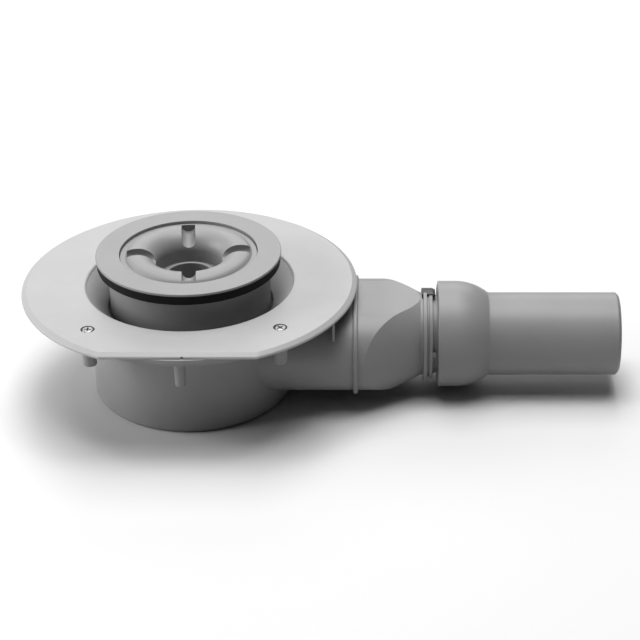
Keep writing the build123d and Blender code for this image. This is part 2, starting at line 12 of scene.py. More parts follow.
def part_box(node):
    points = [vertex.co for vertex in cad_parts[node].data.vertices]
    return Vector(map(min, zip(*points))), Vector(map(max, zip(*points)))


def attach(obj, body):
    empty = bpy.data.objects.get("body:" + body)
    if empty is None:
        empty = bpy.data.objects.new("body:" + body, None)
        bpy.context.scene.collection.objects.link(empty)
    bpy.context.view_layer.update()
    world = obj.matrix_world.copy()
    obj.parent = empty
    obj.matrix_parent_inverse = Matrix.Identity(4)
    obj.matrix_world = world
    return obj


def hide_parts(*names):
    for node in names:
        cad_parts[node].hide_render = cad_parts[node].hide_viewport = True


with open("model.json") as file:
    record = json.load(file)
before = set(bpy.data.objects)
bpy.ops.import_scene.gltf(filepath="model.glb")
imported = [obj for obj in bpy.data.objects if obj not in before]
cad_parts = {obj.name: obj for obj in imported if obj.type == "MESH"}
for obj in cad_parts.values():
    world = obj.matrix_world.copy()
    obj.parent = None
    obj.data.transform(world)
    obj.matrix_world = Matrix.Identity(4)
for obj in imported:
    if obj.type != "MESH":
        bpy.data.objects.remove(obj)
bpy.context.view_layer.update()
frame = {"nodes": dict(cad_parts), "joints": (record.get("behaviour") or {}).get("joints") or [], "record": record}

bl_info = {
    "name": "Shower trap",
    "version": (1, 0, 0),
    "blender": (4, 5, 0),
    "location": "View3D > Sidebar > Shower trap",
    "description": "Builds the visible mouldings, rubber rings and screws of a low shower trap",
    "category": "Add Mesh",
}

MM = 0.001
UP = (0.0, 0.0, 1.0)
ALONG = (1.0, 0.0, 0.0)
WHITE = (1.0, 1.0, 1.0, 1.0)

# How far a shape reaches past the face where it cuts or joins another
PAST = 1.0 * MM
# Room round a shank, a neck or a sealing ring
SLACK = 0.1 * MM
# Keeps apart two faces that would lie in one plane, where a cut could fail
HAIR = 0.02 * MM
# Points closer than this are one point
NEAR = 1e-6
# Edges that bend more than this stay sharp
SHARP = math.radians(14)

# Faces along the round stretches
ROUND_STEPS = 8
BLOCK_ROUND_STEPS = 3
OVAL_STEPS = 64
BELL_STEPS = 28
LOBE_STEPS = 12
SHOULDER_STEPS = 8
SLOT_STEPS = 32
BALL_STEPS = 12
SOCKET_STEPS = 24
POST_SIDES = 48
FLOOR_SIDES = 128

# Where the frame puts each piece
RECORD = frame["record"]
BODY_OF = {node: body for body, nodes in RECORD["behaviour"]["bodies"].items() for node in nodes}
SPIGOT = next(mount for mount in RECORD["mounts"] if mount["name"] == "outlet_spigot")
TILT = next(joint for joint in frame["joints"] if joint["name"] == "outlet_tilt")
BODY_LOW, BODY_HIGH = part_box("trap_body")
FLANGE_LOW, FLANGE_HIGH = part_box("fixing_flange")
NECK_LOW, NECK_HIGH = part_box("drain_neck")
GASKET_LOW, GASKET_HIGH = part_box("tray_gasket")
INSERT_LOW, INSERT_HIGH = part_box("trap_insert")
TUBE_LOW, TUBE_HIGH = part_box("dip_tube")
FRONT_LOW, FRONT_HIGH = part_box("retainer_front")
REAR_LOW, REAR_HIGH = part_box("retainer_rear")
PIPE_LOW, PIPE_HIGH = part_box("outlet_pipe")
SCREW_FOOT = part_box("flange_screws")[0].z
BALL_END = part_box("outlet_reducer")[1].x
OUTLET_Z = SPIGOT["pos_m"][2]
OUTLET_R = SPIGOT["dims"]["r_mm"] * MM
BALL_X = TILT["pos_m"][0]
WELD_X = BODY_HIGH.x
RIM_Z = BODY_HIGH.z
FLANGE_Z = FLANGE_HIGH.z
TOP_Z = NECK_HIGH.z


def linear(hex_colour):
    """Linear RGBA of an sRGB hex value."""
    channels = [int(hex_colour[start:start + 2], 16) / 255 for start in (0, 2, 4)]
    bent = [c / 12.92 if c <= 0.04045 else ((c + 0.055) / 1.055) ** 2.4 for c in channels]
    return bent + [1.0]


def length(name, description, millimetres):
    """A size that a user may change, in millimetres here and metres in the scene."""
    return FloatProperty(
        name=name, description=description, default=millimetres * MM, unit="LENGTH", precision=5
    )


def angle(name, description, degrees):
    """An angle that a user may change, in degrees here and radians in the scene."""
    return FloatProperty(
        name=name, description=description, default=math.radians(degrees), unit="ROTATION"
    )


def colour(name, description, hex_colour):
    """A colour that a user may change, from its sRGB hex value."""
    return FloatVectorProperty(
        name=name, description=description, default=linear(hex_colour), size=4, subtype="COLOR",
        min=0, max=1,
    )


class TrapBodySizes(bpy.types.PropertyGroup):
    """Sizes of the drum, its rim and the oval duct."""

    drum_radius: length("Drum radius", "Outside of the water chamber's wall", 60.0)
    wall: length("Drum wall", "Wall and floor of the water chamber", 2.5)
    base_round: length("Base round", "Rounding of the drum's lower edge", 3.0)
    root_round: length("Root round", "Rounding between the drum and its rim", 0.8)
    rim_thickness: length("Rim thickness", "Plate under the flange", 2.5)
    skirt_setback: length("Skirt setback", "Step from the rim's edge to its skirt", 3.0)
    skirt_wall: length("Skirt wall", "Wall of the skirt under the rim", 2.2)
    skirt_drop: length("Skirt drop", "Height of the skirt under the rim", 3.0)
    duct_width: length("Duct width", "Overall width of the flat-oval duct", 86.0)
    duct_wall: length("Duct wall", "Wall of the duct and the reducer", 2.2)
    weir_rise: length("Weir rise", "Height of the weir above the outlet's axis", 6.0)
    weld_proud: length("Weld bead height", "How far the weld bead stands proud", 2.2)
    weld_half: length("Weld bead half", "Half the width of the weld bead", 1.5)
    weld_round: length("Weld bead round", "Rounding of the weld bead's edge", 1.2)
    boss_radius: length("Boss radius", "Outside of a screw boss", 4.1)
    boss_length: length("Boss length", "Screw boss below the rim's plate", 17.7)
    boss_round: length("Boss round", "Rounding of a boss's lower edge", 1.2)
    peg_length: length("Peg length", "Locating peg below the rim's plate", 19.2)
    peg_radius: length("Peg radius", "Locating peg at its root", 3.4)
    peg_tip_radius: length("Peg tip radius", "Locating peg at its tip", 3.0)
    gusset_thickness: length("Gusset thickness", "Upright web between the duct and the rim", 1.4)
    gusset_setback: length("Gusset setback", "From the weld back to the web", 12.0)
    gusset_start: length("Gusset start", "Front end of the web", -37.5)
    gusset_length: length("Gusset length", "Length of the web across the duct", 17.5)
    seal_inner: length("Seal groove radius", "Inner wall of the seal's groove in the rim", 66.0)
    seal_width: length("Seal groove width", "Width of that groove", 4.0)
    seal_depth: length("Seal groove depth", "Depth of that groove", 2.0)
    edge_round: length("Edge round", "Rounding of the moulded edges", 0.4)


class FlangeSizes(bpy.types.PropertyGroup):
    """Sizes of the clamping flange and its screws."""

    thickness: length("Flange thickness", "Thickness of the flange's plate", 3.0)
    edge_run: length("Flange edge run", "Width of the slope on the flange's upper edge", 3.0)
    edge_drop: length("Flange edge drop", "Height of that slope", 1.8)
    edge_soft: length("Flange edge round", "Rounding below that slope", 0.7)
    under_round: length("Flange lower round", "Rounding of the flange's lower edge", 0.3)
    dish_radius: length("Dish radius", "Where the flange starts to slope down", 62.0)
    dish_depth: length("Dish depth", "How deep the dished throat is", 14.0)
    dish_step: length("Dish step", "Steep step at the dish's edge", 1.4)
    dish_step_run: length("Dish step run", "How far that step leans in", 0.4)
    dish_wall: length("Dish wall", "Wall of the dished throat", 1.8)
    dish_clearance: length("Dish clearance", "Room between the dish and the body", 0.4)
    dish_round: length("Dish round", "Rounding of the dish's upper edge", 1.1)
    gate_radius: length("Gate mark radius", "Notch that the mould's gate left in the flat edge", 0.8)
    gate_place: length("Gate mark place", "How far that notch is from the middle", 2.5)
    collar_bore: length("Collar bore radius", "Bore that takes the drain neck", 48.15)
    collar_wall: length("Collar wall", "Wall of the collar under the dish", 2.5)
    collar_lead: length("Collar lead", "Gap round the drain neck at the collar's mouth", 1.4)
    collar_relief: length("Collar relief", "Depth of that gap", 4.0)
    screw_pitch: length("Screw pitch radius", "Circle that the screws stand on", 80.7)
    screw_turn: angle("Screw turn", "How far the ring of screws is turned", 1.25)
    screw_spread: angle("Screw spread", "From the flat's middle to each screw beside it", 43.05)
    screw_radius: length("Screw radius", "Shank of a flange screw", 2.0)
    head_radius: length("Head radius", "Pan head of a flange screw", 3.5)
    head_height: length("Head height", "Height of the pan head", 2.0)
    head_round: length("Head round", "Rounding of the pan head", 0.8)
    recess_radius: length("Recess radius", "Round recess that the head sits in", 4.1)
    recess_depth: length("Recess depth", "Depth of the head's recess", 2.0)
    cross_length: length("Cross length", "Length of an arm of the cross recess", 4.4)
    cross_width: length("Cross width", "Width of an arm of the cross recess", 0.9)
    cross_depth: length("Cross depth", "Depth of the cross recess", 1.2)
    cross_turn: angle("Cross turn", "Turn of each screw's cross from the one before", 45.0)


class NeckSizes(bpy.types.PropertyGroup):
    """Sizes of the drain neck, the insert and the dip tube."""

    neck_radius: length("Neck radius", "Outside of the drain neck", 48.0)
    neck_wall: length("Neck wall", "Wall of the drain neck", 2.2)
    ring_bore: length("Ring bore radius", "Bore of the top ring", 41.0)
    ring_round: length("Ring round", "Rounding of the top ring's outer edge", 0.5)
    gasket_round: length("Gasket round", "Rounding of the gasket's lower edge", 0.6)
    gasket_top_round: length("Gasket top round", "Rounding of the gasket's upper edge", 0.2)
    ledge_width: length("Ledge width", "Ledge that carries the insert", 1.2)
    ledge_depth: length("Ledge depth", "Depth of the ledge below the top", 4.0)
    ledge_height: length("Ledge height", "Height of the ledge's wall", 7.0)
    crest_radius: length("Crest radius", "Circle of the bell's highest line", 30.3)
    bell_radius: length("Bell radius", "Rounding of the bell mouth", 10.7)
    lobe_radius: length("Lobe radius", "Rounding of the lobes past the crest", 20.0)
    shoulder_setback: length("Shoulder setback", "From the insert's edge to the end of the lobes", 6.0)
    shoulder_round: length("Shoulder round", "Rounding from the lobes down to the rim", 5.0)
    rim_round: length("Insert rim round", "Rounding of the insert's rim", 0.3)
    throat_drop: length("Throat drop", "Straight throat under the bell", 7.1)
    throat_step: length("Throat step", "Step in to the dip tube's bed", 3.1)
    insert_turn: angle("Insert turn", "How far the insert is turned in the neck", 4.8)
    insert_wall: length("Insert wall", "Wall of the insert", 2.0)
    insert_drop: length("Insert drop", "Insert's rim below the top ring", 1.75)
    slot_width: length("Slot width", "Width of the four slots", 8.3)
    slot_depth: length("Slot depth", "Depth of the slots below the insert's rim", 3.4)
    slot_fall: angle("Slot fall", "How steeply the slots fall towards the throat", 8.5)
    slot_setback: length("Slot setback", "From the insert's edge to the slots' outer end", 4.0)
    slot_wall: length("Slot wall", "Wall under the slots", 1.6)
    skirt_wall: length("Insert skirt wall", "Wall of the insert's sealing skirt", 4.2)
    skirt_length: length("Insert skirt length", "Length of the insert's sealing skirt", 7.5)
    fit: length("Insert fit", "Clearance round the insert", 0.4)
    ring_section: length("Sealing ring section", "Half the section of the insert's sealing ring", 1.0)
    ring_drop: length("Sealing ring drop", "Sealing ring below the ledge", 3.9)
    tube_wall: length("Dip tube wall", "Wall of the dip tube", 1.6)
    tube_ledge: length("Dip tube ledge", "Step under the dip tube's head", 1.3)
    tube_head: length("Dip tube head", "Height of the dip tube's head", 4.0)
    tube_rise: length("Dip tube rise", "How far the tube stands above its head", 2.8)
    tube_lip: length("Dip tube lip", "Chamfer on the dip tube's rim", 0.4)
    tube_round: length("Dip tube round", "Rounding of the dip tube's lip", 0.15)
    tube_ring: length("Tube ring section", "Half the section of the dip tube's sealing ring", 0.9)
    tube_ring_lift: length("Tube ring lift", "That ring's middle above the head's seat", 1.5)
    tube_fit: length("Dip tube fit", "Clearance round the dip tube", 0.3)


class OutletSizes(bpy.types.PropertyGroup):
    """Sizes of the reducer, the ball joint and the pipe."""

    cone_start: length("Cone start", "Where the cone is as wide as the duct, past the weld", 4.9)
    cone_length: length("Reducer length", "From the weld to the round neck", 38.9)
    neck_wall: length("Neck wall", "Wall of the round neck", 2.4)
    ball_end_wall: length("Ball end wall", "Wall at the ball's open end", 1.6)
    seal_groove_width: length("Seal groove width", "Groove of the ball's seal", 5.0)
    seal_groove_depth: length("Seal groove depth", "Depth of that groove", 2.6)
    gap_width: length("Gap width", "Clearance groove between the retainer and the ball", 3.1)
    gap_wall: length("Gap wall", "Wall under that groove", 1.0)
    retainer_core: length("Retainer core", "Wall of the retainer between its ribs", 1.1)
    rib_width: length("Rib width", "Width of a retainer rib", 2.1)
    rib_gap: length("Rib gap", "Groove between the retainer's ribs", 1.3)
    rib_round: length("Rib round", "Rounding of the retainer's ribs", 0.3)
    second_rib: length("Second rib height", "Height of the rib beside the socket", 2.0)
    retainer_fit: length("Retainer fit", "Clearance of the retainer on the neck", 0.05)
    clip_fit: length("Clip fit", "Clearance of the rear clip on the neck", 0.15)
    clip_proud: length("Clip height", "Height of the rear clip above the neck", 2.7)
    clip_tip: length("Clip tip height", "Height of its tip beside the socket", 1.85)
    clip_round: length("Clip round", "Rounding of the rear clip", 0.4)
    clip_tip_round: length("Clip tip round", "Rounding of its tip", 0.2)
    finger_width: length("Finger width", "Width of the retainer's finger", 3.0)
    finger_root: length("Finger root", "Underside of the finger above the neck", 1.1)
    finger_top: length("Finger top", "Top of the finger above the neck", 1.8)
    finger_round: length("Finger round", "Rounding of the finger's edges", 0.15)
    socket_gap: length("Socket gap", "Clearance between ball and socket", 0.35)
    lip_width: length("Lip width", "Width of the socket's snap lip", 2.0)
    lip_gap: length("Lip gap", "Clearance between ball and lip", 0.6)
    lip_flare: length("Lip flare", "How far the mouth flares out", 1.6)
    lip_chamfer: length("Lip chamfer", "Slope of the socket's outer mouth edge", 0.5)
    mouth_round: length("Mouth round", "Rounding inside the socket's mouth", 0.2)
    outer_round: length("Outer round", "Rounding of the outer edges of socket and pipe", 0.5)
    root_round: length("Socket root round", "Rounding between the socket and the pipe", 0.6)
    pipe_wall: length("Pipe wall", "Wall of the straight pipe", 1.8)
    pipe_chamfer: length("Pipe chamfer", "Chamfer on the pipe's end", 1.5)


class FinishColours(bpy.types.PropertyGroup):
    """Colours of the mouldings, the rubber and the steel."""

    body: colour("Body grey", "Drum, duct, reducer and pipe", "7F7F7F")
    neck: colour("Neck grey", "Top ring, neck, insert and dip tube", "7F7F7F")
    flange: colour("Flange grey", "Clamping flange", "989898")
    clip: colour("Clip grey", "Dark rear half of the retainer", "343434")
    rubber: colour("Rubber black", "Gasket and seals", "0E0E0E")
    steel: colour("Steel", "Flange screws", "909090")
    floor: colour("Floor", "Studio floor", "CACACA")


class StudioSettings(bpy.types.PropertyGroup):
    """Camera, floor and mesh fineness."""

    lens: FloatProperty(
        name="Lens", description="Focal length on a full-frame sensor", default=113.4, unit="CAMERA"
    )
    shift: FloatProperty(name="Shift", description="Sideways shift of the camera's frame", default=-0.0875)
    elevation: angle("Elevation", "How steeply the camera looks down", 28.93)
    place: FloatVectorProperty(
        name="Camera place", description="Where the camera stands", default=(0.11128, -1.0671, 0.6331),
        subtype="XYZ",
    )
    floor_radius: length("Floor radius", "Round floor that fades into the pale wall", 1250.0)
    steps: IntProperty(
        name="Steps per turn", description="Faces round each turned moulding", default=192, min=24
    )


# Soft lamps: name, place and sides in metres, power in watts
LAMPS = (
    ("overhead_strip", (0.06, -0.12, 1.94), (0.7, 1.1), 22.5),
    ("rear_strip", (0.06, 0.75, 1.78), (0.75, 0.9), 18.0),
    ("back_softbox", (0.06, 1.64, 0.99), (1.4, 1.0), 11.5),
    ("left_softbox", (-1.64, -0.05, 0.6), (1.3, 1.1), 33.0),
    ("left_spot", (-0.53, 0.0, 1.85), (0.5, 0.5), 7.0),
    ("right_spot", (0.65, 0.0, 1.85), (0.5, 0.5), 7.0),
)
LAMP_AIM = Vector((0.06, 0.0, 0.04))


# Shaping


def arc(centre, radius, start, end, steps):
    """Points on an arc in an outline, from one angle to another in degrees."""
    angles = [math.radians(start + (end - start) * i / steps) for i in range(steps + 1)]
    return [(centre[0] + radius * math.cos(a), centre[1] + radius * math.sin(a)) for a in angles]


def edges_where(shape, test):
    """Edges with both ends where a test of the place holds."""
    return [edge for edge in shape.edges if all(test(vertex.co) for vertex in edge.verts)]


def round_edges(shape, edges, radius, segments=ROUND_STEPS):
    """Rounds the given edges."""
    bmesh.ops.bevel(
        shape, geom=edges, offset=radius, offset_type="OFFSET", segments=segments, profile=0.5,
        affect="EDGES", material=-1, clamp_overlap=True,
    )


def turned(outline, rounds=(), about=UP):
    """Closed outline spun into a solid, with the given corners rounded.

    Its points are (radius, height) about the drum's axis or (station, radius) about the outlet's.
    """
    shape = bmesh.new()
    if about == UP:
        corners = [shape.verts.new((radius, 0, height)) for radius, height in outline]
        centre = (0, 0, 0)
    else:
        corners = [shape.verts.new((station, 0, OUTLET_Z + radius)) for station, radius in outline]
        centre = (0, 0, OUTLET_Z)
    edges = [shape.edges.new((corners[i - 1], corners[i])) for i in range(len(corners))]
    bmesh.ops.spin(
        shape, geom=corners + edges, cent=centre, axis=about, angle=math.tau,
        steps=bpy.context.scene.trap_studio.steps, use_merge=True,
    )
    bmesh.ops.remove_doubles(shape, verts=shape.verts, dist=NEAR / 10)
    bmesh.ops.recalc_face_normals(shape, faces=shape.faces)
    for corner, radius in rounds:
        circle = edges_where(shape, lambda place: on_ring(place, corner, about))
        round_edges(shape, circle, radius)
    return shape


def on_ring(place, corner, about):
    """Whether a place lies on the circle that an outline's corner was spun into."""
    x, y, z = place
    if about == UP:
        flat = (math.hypot(x, y), z)
    else:
        flat = (x, math.hypot(y, z - OUTLET_Z))
    return math.dist(flat, corner) < NEAR


def ring(inner, outer, low, high, rounds=()):
    """Upright ring with a plain rectangular section."""
    return turned([(inner, low), (outer, low), (outer, high), (inner, high)], rounds)


def bar(profile, start, end):
    """Closed (y, z) profile pushed along the outlet's direction."""
    shape = bmesh.new()
    face = shape.faces.new([shape.verts.new((start, y, z)) for y, z in profile])
    pushed = bmesh.ops.extrude_face_region(shape, geom=[face])
    far = [v for v in pushed["geom"] if isinstance(v, bmesh.types.BMVert)]
    bmesh.ops.translate(shape, verts=far, vec=(end - start, 0, 0))
    bmesh.ops.recalc_face_normals(shape, faces=shape.faces)
    return shape


def oval_bar(start, end, width, height, round_at=None, edge_round=0.0):
    """Flat-oval bar along the outlet, with the edge at one of its ends rounded."""
    straight = (width - height) / 2
    near_side = arc((straight, OUTLET_Z), height / 2, -90, 90, OVAL_STEPS)
    far_side = arc((-straight, OUTLET_Z), height / 2, 90, 270, OVAL_STEPS)
    shape = bar(near_side + far_side, start, end)
    if edge_round:
        border = edges_where(shape, lambda place: abs(place.x - round_at) < NEAR)
        round_edges(shape, border, edge_round)
    return shape


def block(low, high, edge_round=0.0):
    """Box between two corners."""
    shape = bmesh.new()
    low, high = Vector(low), Vector(high)
    place = Matrix.Translation((low + high) / 2) @ Matrix.Diagonal((*(high - low), 1))
    bmesh.ops.create_cube(shape, size=1, matrix=place)
    if edge_round:
        round_edges(shape, shape.edges[:], edge_round, BLOCK_ROUND_STEPS)
    return shape


def post(place, low, high, radius, low_radius=None, edge_round=0.0):
    """Upright round post, which may taper to its lower end."""
    shape = bmesh.new()
    bmesh.ops.create_cone(
        shape, cap_ends=True, segments=POST_SIDES, radius1=low_radius or radius, radius2=radius,
        depth=high - low, matrix=Matrix.Translation((*place, (low + high) / 2)),
    )
    if edge_round:
        foot = min(v.co.z for v in shape.verts)
        round_edges(shape, edges_where(shape, lambda place: place.z < foot + NEAR), edge_round)
    return shape


def to_mesh(shape, name):
    """Turns a shape into a mesh of that name."""
    mesh = bpy.data.meshes.new(name)
    shape.to_mesh(mesh)
    shape.free()
    return mesh


def show(name, data):
    """Puts a mesh, a lamp or a camera into the scene."""
    shown = bpy.data.objects.new(name, data)
    bpy.context.scene.collection.objects.link(shown)
    return shown


def together(*shapes):
    """One shape from several that stay clear of each other."""
    group = bmesh.new()
    for shape in shapes:
        mesh = to_mesh(shape, "group")
        group.from_mesh(mesh)
        bpy.data.meshes.remove(mesh)
    return group


def carve(target, tool, operation):
    """Joins, cuts or keeps the overlap of two closed shapes."""
    pair = [show("carving", to_mesh(shape, "carving")) for shape in (target, tool)]
    modifier = pair[0].modifiers.new("carve", "BOOLEAN")
    modifier.operation = operation
    modifier.solver = "EXACT"
    modifier.object = pair[1]
    bpy.context.view_layer.update()
    result = bmesh.new()
    result.from_object(pair[0], bpy.context.evaluated_depsgraph_get())
    for leftover in pair:
        mesh = leftover.data
        bpy.data.objects.remove(leftover)
        bpy.data.meshes.remove(mesh)
    bmesh.ops.remove_doubles(result, verts=result.verts, dist=NEAR)
    return result


def joined(target, *tools):
    """One shape from several that overlap."""
    for tool in tools:
        target = carve(target, tool, "UNION")
    return target


def cut(target, *tools):
    """A shape with others taken out of it."""
    for tool in tools:
        target = carve(target, tool, "DIFFERENCE")
    return target


def make_piece(shape, name, node, material):
    """Shows a shape in place of its CAD node, on the same body, with the given finish."""
    mesh = to_mesh(shape, name)
    mesh.shade_smooth()
    mesh.set_sharp_from_angle(angle=SHARP)
    mesh.materials.append(material)
    piece = show(name, mesh)
    shading = piece.modifiers.new("even shading", "WEIGHTED_NORMAL")
    shading.keep_sharp = True
    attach(piece, BODY_OF[node])
    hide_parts(node)
    return piece


# Finishes


def add_node(tree, kind, inputs=None, **settings):
    """Adds a node; its inputs take values or other nodes' outputs, its settings take values."""
    made = tree.nodes.new(kind)
    for name, value in settings.items():
        setattr(made, name, value)
    for name, value in (inputs or {}).items():
        if isinstance(value, bpy.types.NodeSocket):
            tree.links.new(value, made.inputs[name])
        else:
            made.inputs[name].default_value = value
    return made


def new_material(name):
    """A material, its emptied node tree, and the point on the object that its patterns read."""
    material = bpy.data.materials.new(name)
    material.use_nodes = True
    tree = material.node_tree
    tree.nodes.clear()
    point = add_node(tree, "ShaderNodeTexCoord").outputs["Object"]
    return material, tree, point


def per_mm(size):
    """Pattern scale for a feature of that many millimetres."""
    return 1 / (size * MM)


def mottled(tree, tint, pattern, limits):
    """A tint that a pattern makes darker and lighter, between the given limits."""
    shade = add_node(tree, "ShaderNodeMapRange", {"Value": pattern.outputs["Fac"], **limits})
    tinted = add_node(
        tree, "ShaderNodeVectorMath", {0: tint[:3], "Scale": shade.outputs["Result"]}, operation="SCALE"
    )
    return tinted.outputs["Vector"]


def moulded_polypropylene(name, tint):
    """Polypropylene from a spark-eroded mould: satin, with faint flow mottling and a fine even grain."""
    material, tree, point = new_material(name)
    flow = add_node(tree, "ShaderNodeTexNoise", {
        "Vector": point, "Scale": per_mm(28), "Detail": 3, "Roughness": 0.6,
    })
    grey = mottled(tree, tint, flow, {"From Min": 0.3, "From Max": 0.7, "To Min": 0.97, "To Max": 1.03})
    # The real grain is about 0.1 mm; it is drawn coarser so that it shows at all
    grain = add_node(tree, "ShaderNodeTexNoise", {"Vector": point, "Scale": per_mm(0.7), "Detail": 2})
    gloss = add_node(tree, "ShaderNodeMapRange", {
        "Value": grain.outputs["Fac"], "From Min": 0.3, "From Max": 0.7, "To Min": 0.38, "To Max": 0.46,
    })
    bump = add_node(tree, "ShaderNodeBump", {
        "Height": grain.outputs["Fac"], "Strength": 0.06, "Distance": 0.2 * MM,
    })
    surface = add_node(tree, "ShaderNodeBsdfPrincipled", {
        "Base Color": grey, "Roughness": gloss.outputs["Result"], "Normal": bump.outputs["Normal"],
        "IOR": 1.49, "Specular IOR Level": 0.3,
    })
    add_node(tree, "ShaderNodeOutputMaterial", {"Surface": surface.outputs["BSDF"]})
    return material


def moulded_rubber(name, tint):
    """EPDM rubber from a polished mould: near black, dull, with a dry bloom in faint patches."""
    material, tree, point = new_material(name)
    bloom = add_node(tree, "ShaderNodeTexNoise", {
        "Vector": point, "Scale": per_mm(9), "Detail": 4, "Roughness": 0.65,
    })
    black = mottled(tree, tint, bloom, {"From Min": 0.35, "From Max": 0.7, "To Min": 0.85, "To Max": 1.3})
    pits = add_node(tree, "ShaderNodeTexNoise", {"Vector": point, "Scale": per_mm(0.9), "Detail": 2})
    bump = add_node(tree, "ShaderNodeBump", {
        "Height": pits.outputs["Fac"], "Strength": 0.1, "Distance": 0.2 * MM,
    })
    surface = add_node(tree, "ShaderNodeBsdfPrincipled", {
        "Base Color": black, "Normal": bump.outputs["Normal"], "Roughness": 0.7, "Specular IOR Level": 0.15,
    })
    add_node(tree, "ShaderNodeOutputMaterial", {"Surface": surface.outputs["BSDF"]})
    return material


def bright_stainless(name, tint):
    """Stainless steel, cold headed and tumbled: bright, with short fine scratches."""
    material, tree, point = new_material(name)
    scratches = add_node(tree, "ShaderNodeTexNoise", {"Vector": point, "Scale": per_mm(0.5), "Detail": 4})
    gloss = add_node(tree, "ShaderNodeMapRange", {
        "Value": scratches.outputs["Fac"], "From Min": 0.3, "From Max": 0.7, "To Min": 0.28, "To Max": 0.42,
    })
    bump = add_node(tree, "ShaderNodeBump", {
        "Height": scratches.outputs["Fac"], "Strength": 0.08, "Distance": 0.1 * MM,
    })
    surface = add_node(tree, "ShaderNodeBsdfPrincipled", {
        "Base Color": tint, "Metallic": 1.0, "Roughness": gloss.outputs["Result"],
        "Normal": bump.outputs["Normal"],
    })
    add_node(tree, "ShaderNodeOutputMaterial", {"Surface": surface.outputs["BSDF"]})
    return material


def matt_floor(name, tint):
    """Studio floor board: matt paint with hardly any unevenness."""
    material, tree, point = new_material(name)
    cloud = add_node(tree, "ShaderNodeTexNoise", {"Vector": point, "Scale": per_mm(400), "Detail": 2})
    surface = add_node(tree, "ShaderNodeBsdfPrincipled", {
        "Base Color": mottled(tree, tint, cloud, {"To Min": 0.99, "To Max": 1.0}),
        "Roughness": 0.9, "Specular IOR Level": 0.1,
    })
    add_node(tree, "ShaderNodeOutputMaterial", {"Surface": surface.outputs["BSDF"]})
    return material


def finish(kind):
    """The finish of that name, made once."""
    name = "finish_" + kind
    if name in bpy.data.materials:
        return bpy.data.materials[name]
    makers = {"rubber": moulded_rubber, "steel": bright_stainless, "floor": matt_floor}
    make = makers.get(kind, moulded_polypropylene)
    return make(name, list(getattr(bpy.context.scene.trap_colours, kind)))


# Pieces


def retainer_end(sizes):
    """Station where the retainer's second rib ends and the ball starts."""
    return FRONT_LOW.x + 2 * sizes.rib_width + sizes.rib_gap


def screw_places(sizes):
    """Where the flange screws stand: two beside the flat and one opposite it."""
    front = sizes.screw_turn - math.pi / 2
    turns = (front - sizes.screw_spread, front + sizes.screw_spread, front + math.pi)
    return [(sizes.screw_pitch * math.cos(turn), sizes.screw_pitch * math.sin(turn)) for turn in turns]


def dish_line(sizes):
    """Slanted wall of the dish: foot radius, foot height, slope and the rim radius of its underside."""
    foot_r = sizes.collar_bore + sizes.collar_lead
    foot_z = FLANGE_Z - sizes.dish_depth
    slope = (sizes.dish_depth - sizes.dish_step) / (sizes.dish_radius - sizes.dish_step_run - foot_r)
    thick = sizes.dish_wall * math.hypot(1, slope)
    rim_r = foot_r + (RIM_Z + thick - foot_z) / slope
    return foot_r, foot_z, slope, rim_r


def weld_trim(side):
    """Block that takes away what stands past the weld's plane, downstream for 1 and upstream for -1."""
    near_x, far_x = sorted((WELD_X, WELD_X + 5 * side * PAST))
    half = FLANGE_HIGH.x
    return block((near_x, -half, OUTLET_Z - half), (far_x, half, OUTLET_Z + half))


